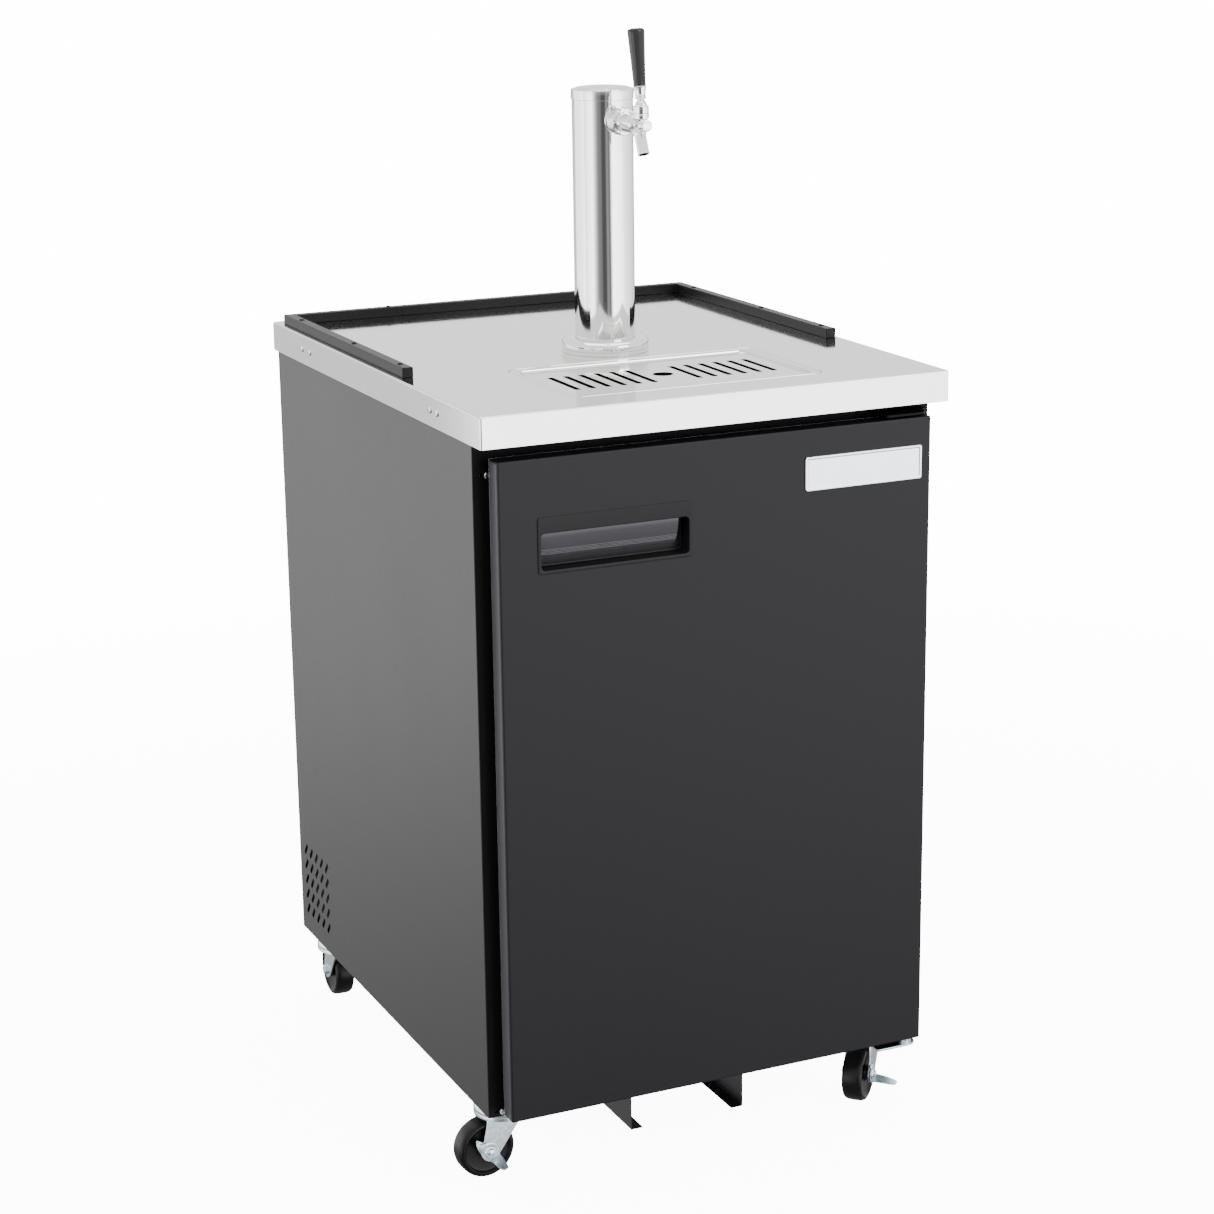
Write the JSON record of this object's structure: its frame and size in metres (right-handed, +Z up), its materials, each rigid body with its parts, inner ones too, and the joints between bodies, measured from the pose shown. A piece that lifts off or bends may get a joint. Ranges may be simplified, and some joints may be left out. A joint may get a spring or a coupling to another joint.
{
  "type": "kegerator",
  "caption": "Free-standing draught beer cooler: insulated cabinet on swivel casters, side-hinged door, stainless worktop with drip tray, rail and tap tower.",
  "frame": {"origin": "on the floor under the middle of the worktop", "axes": "+Z up, +X to the right of someone facing the door, the door faces -Y"},
  "size_m": [0.6434, 0.7572, 1.3806],
  "materials": {
    "worktop_steel": "brushed stainless sheet, fine straight grain",
    "tower_steel": "polished stainless tube",
    "tap_chrome": "bright chrome plate",
    "handle_gloss_black": "gloss black moulded plastic",
    "cabinet_black": "black powder coat, satin, fine texture",
    "door_black": "black coated steel, satin",
    "frame_black": "black, matte",
    "rail_black": "black powder coat, satin",
    "bright_fasteners": "bright plated screw",
    "zinc_plate": "bright zinc plate, slightly blue",
    "wheel_rubber": "hard black rubber",
    "gasket_rubber": "black magnetic gasket",
    "liner_aluminium": "mill finish aluminium sheet",
    "foam_core": "polyurethane foam",
    "black_plastic": "black plastic",
    "compressor_black": "black enamel",
    "pocket_black": "charcoal moulded plastic",
    "grip_grey": "dark grey moulded plastic",
    "badge_silver": "blank satin silver plate"
  },
  "bodies": {
    "cabinet": {"worktop": "worktop_steel", "worktop_screws": "bright_fasteners", "guard_rail": "rail_black", "rail_screws": "bright_fasteners", "drip_pan": "worktop_steel", "drain_tube": "black_plastic", "tower_flange": "tower_steel", "tower_column": "tower_steel", "tower_cap": "tower_steel", "tower_insulation": "foam_core", "tower_screws": "bright_fasteners", "beer_shank": "tap_chrome", "coupling_nut": "tap_chrome", "faucet_body": "tap_chrome", "lever_bonnet": "tap_chrome", "beer_line": "black_plastic", "side_panel_left": "cabinet_black", "side_panel_right": "cabinet_black", "back_panel": "cabinet_black", "rear_grille": "cabinet_black", "front_frame": "frame_black", "inner_liner": "liner_aluminium", "foam_insulation": "foam_core", "base_pan": "zinc_plate", "panel_screws": "bright_fasteners", "skids": "cabinet_black", "hinge_bracket_top": "frame_black", "hinge_bracket_bottom": "zinc_plate", "compressor": "compressor_black", "condenser": "liner_aluminium", "fan_shroud": "zinc_plate", "evaporator_cover": "liner_aluminium", "evaporator_coil": "liner_aluminium", "power_inlet": "black_plastic", "caster_plates": "zinc_plate"},
    "drip_grille": {"drip_grille": "worktop_steel"},
    "tap_lever": {"tap_lever": "tap_chrome", "tap_ferrule": "tap_chrome", "tap_handle": "handle_gloss_black"},
    "faucet_shaft": {"faucet_shaft": "tap_chrome"},
    "door": {"door_skin": "door_black", "door_liner": "liner_aluminium", "door_foam": "foam_core", "door_gasket": "gasket_rubber", "handle_frame": "pocket_black", "handle_grip": "grip_grey", "badge": "badge_silver"},
    "condenser_fan": {"condenser_fan": "black_plastic"},
    "evaporator_fan": {"evaporator_fan": "black_plastic"},
    "thermostat_knob": {"thermostat_knob": "black_plastic"},
    "caster_fork_fl": {"caster_fork_fl": "zinc_plate"},
    "caster_wheel_fl": {"caster_wheel_fl": "wheel_rubber"},
    "caster_brake_fl": {"caster_brake_fl": "zinc_plate"},
    "caster_fork_fr": {"caster_fork_fr": "zinc_plate"},
    "caster_wheel_fr": {"caster_wheel_fr": "wheel_rubber"},
    "caster_brake_fr": {"caster_brake_fr": "zinc_plate"},
    "caster_fork_bl": {"caster_fork_bl": "zinc_plate"},
    "caster_wheel_bl": {"caster_wheel_bl": "wheel_rubber"},
    "caster_fork_br": {"caster_fork_br": "zinc_plate"},
    "caster_wheel_br": {"caster_wheel_br": "wheel_rubber"}
  },
  "joints": [
    {"name": "door_hinge", "type": "hinge", "parent": "cabinet", "child": "door", "pos_m": [0.268, -0.354, 0.515], "axis": [0, 0, 1], "range_deg": [0, 120]},
    {"name": "drip_grille_lift", "type": "slide", "parent": "cabinet", "child": "drip_grille", "axis": [0, 0, 1], "range_m": [0, 0.15]},
    {"name": "tap_pull", "type": "hinge", "parent": "cabinet", "child": "tap_lever", "pos_m": [0, -0.155, 1.289], "axis": [1, 0, 0], "range_deg": [0, 30]},
    {"name": "faucet_shaft_slide", "type": "slide", "parent": "cabinet", "child": "faucet_shaft", "axis": [0, 1, 0], "range_m": [0, 0.0115]},
    {"name": "condenser_fan_spin", "type": "hinge", "parent": "cabinet", "child": "condenser_fan", "pos_m": [0.196, 0.276, 0.205], "axis": [1, 0, 0], "continuous": true},
    {"name": "evaporator_fan_spin", "type": "hinge", "parent": "cabinet", "child": "evaporator_fan", "pos_m": [-0.06, 0.268, 0.775], "axis": [0, 1, 0], "continuous": true},
    {"name": "thermostat_turn", "type": "hinge", "parent": "cabinet", "child": "thermostat_knob", "pos_m": [0.14, 0.256, 0.775], "axis": [0, -1, 0], "range_deg": [0, 270]},
    {"name": "caster_swivel_fl", "type": "hinge", "parent": "cabinet", "child": "caster_fork_fl", "pos_m": [-0.258, -0.27, 0.095], "axis": [0, 0, 1], "continuous": true},
    {"name": "wheel_spin_fl", "type": "hinge", "parent": "caster_fork_fl", "child": "caster_wheel_fl", "pos_m": [-0.28396, -0.27136, 0.0375], "axis": [-0.0523, 0.9986, 0], "continuous": true},
    {"name": "brake_press_fl", "type": "hinge", "parent": "caster_fork_fl", "child": "caster_brake_fl", "pos_m": [-0.28396, -0.27136, 0.0375], "axis": [-0.0523, 0.9986, 0], "range_deg": [0, 25]},
    {"name": "caster_swivel_fr", "type": "hinge", "parent": "cabinet", "child": "caster_fork_fr", "pos_m": [0.258, -0.27, 0.095], "axis": [0, 0, 1], "continuous": true},
    {"name": "wheel_spin_fr", "type": "hinge", "parent": "caster_fork_fr", "child": "caster_wheel_fr", "pos_m": [0.2393, -0.28806, 0.0375], "axis": [-0.6947, 0.7193, 0], "continuous": true},
    {"name": "brake_press_fr", "type": "hinge", "parent": "caster_fork_fr", "child": "caster_brake_fr", "pos_m": [0.2393, -0.28806, 0.0375], "axis": [-0.6947, 0.7193, 0], "range_deg": [0, 25]},
    {"name": "caster_swivel_bl", "type": "hinge", "parent": "cabinet", "child": "caster_fork_bl", "pos_m": [-0.258, 0.322, 0.095], "axis": [0, 0, 1], "continuous": true},
    {"name": "wheel_spin_bl", "type": "hinge", "parent": "caster_fork_bl", "child": "caster_wheel_bl", "pos_m": [-0.25732, 0.34799, 0.0375], "axis": [0.9997, -0.0262, 0], "continuous": true},
    {"name": "caster_swivel_br", "type": "hinge", "parent": "cabinet", "child": "caster_fork_br", "pos_m": [0.258, 0.322, 0.095], "axis": [0, 0, 1], "continuous": true},
    {"name": "wheel_spin_br", "type": "hinge", "parent": "caster_fork_br", "child": "caster_wheel_br", "pos_m": [0.284, 0.322, 0.0375], "axis": [0, -1, 0], "continuous": true}
  ],
  "couplings": [
    {"joint": "faucet_shaft_slide", "follows": "tap_pull", "m_per_rad": 0.0215}
  ]
}
